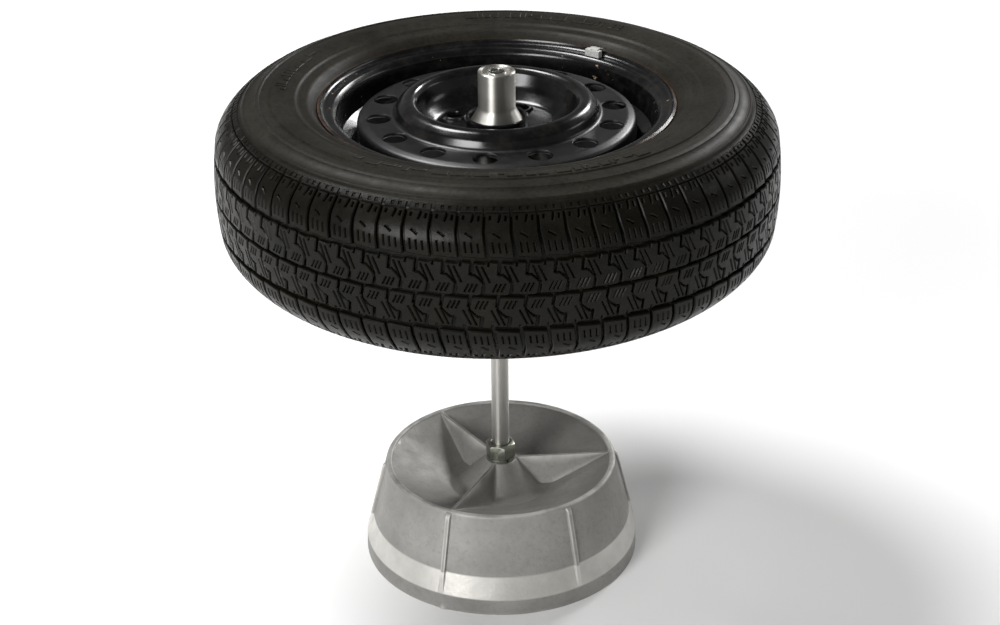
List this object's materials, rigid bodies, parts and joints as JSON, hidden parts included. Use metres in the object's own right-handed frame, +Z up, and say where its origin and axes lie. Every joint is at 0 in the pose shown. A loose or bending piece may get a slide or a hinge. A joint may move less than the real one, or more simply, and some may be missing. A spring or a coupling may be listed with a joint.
{
  "type": "static wheel balancer",
  "caption": "Portable static wheel balancer: cast bell base, steel post, and a cone head with a spirit vial that rocks on a ball pivot, carrying a steel wheel with its tyre.",
  "frame": {"origin": "on the floor, at the centre of the base's underside, on the post's axis", "axes": "+Z up along the post; +X through the first star arm less 4 degrees, to the right as seen from the front; the front looks along +Y"},
  "size_m": [0.5796, 0.5796, 0.5595],
  "materials": {
    "cast_aluminium": "sand cast, matt",
    "bright_steel": "cold drawn, bright",
    "turned_steel": "turned, bright",
    "zinc_plate": "zinc plated",
    "hard_steel": "ground",
    "pad_rubber": "matt",
    "vial_metal": "plated, bright",
    "vial_liquid": "clear tinted liquid",
    "vial_glass": "clear",
    "black_enamel": "gloss black enamel",
    "tyre_rubber": "matt, dusty",
    "valve_rubber": "satin",
    "cap_plastic": "satin",
    "weight_metal": "bright"
  },
  "bodies": {
    "stand": {"base_casting": "cast_aluminium", "post": "bright_steel", "lock_washer": "zinc_plate", "upper_nut": "zinc_plate", "plain_washer": "zinc_plate", "lower_nut": "zinc_plate", "pivot_cup": "hard_steel"},
    "pivot_ball": {"pivot_ball": "hard_steel"},
    "pivot_seat": {"pivot_seat": "hard_steel"},
    "head": {"balancer_head": "turned_steel", "levelling_pad": "pad_rubber", "vial_cup": "vial_metal", "vial_liquid": "vial_liquid", "vial_lens": "vial_glass", "vial_bezel": "vial_metal", "level_screw_1": "hard_steel", "level_screw_2": "hard_steel", "level_screw_3": "hard_steel"},
    "bubble": {"vial_bubble": "vial_glass"},
    "wheel": {"wheel_rim": "black_enamel", "wheel_disc": "black_enamel", "tyre": "tyre_rubber", "valve_stem": "valve_rubber", "valve_cap": "cap_plastic", "balance_weight": "weight_metal", "weight_clip": "weight_metal"}
  },
  "joints": [
    {"name": "tilt_x", "type": "hinge", "parent": "stand", "child": "pivot_ball", "pos_m": [0, 0, 0.538], "axis": [1, 0, 0], "range_deg": [-4, 4]},
    {"name": "tilt_y", "type": "hinge", "parent": "pivot_ball", "child": "pivot_seat", "pos_m": [0, 0, 0.538], "axis": [0, 1, 0], "range_deg": [-4, 4]},
    {"name": "head_spin", "type": "hinge", "parent": "pivot_seat", "child": "head", "pos_m": [0, 0, 0.538], "axis": [0, 0, 1], "continuous": true},
    {"name": "bubble_drift", "type": "slide", "parent": "pivot_seat", "child": "bubble", "axis": [0, 1, 0], "range_m": [-0.005, 0.005]},
    {"name": "wheel_lift", "type": "slide", "parent": "head", "child": "wheel", "axis": [0, 0, 1], "range_m": [0, 0.2]}
  ],
  "couplings": [
    {"joint": "bubble_drift", "follows": "tilt_x", "m_per_rad": 0.07}
  ]
}
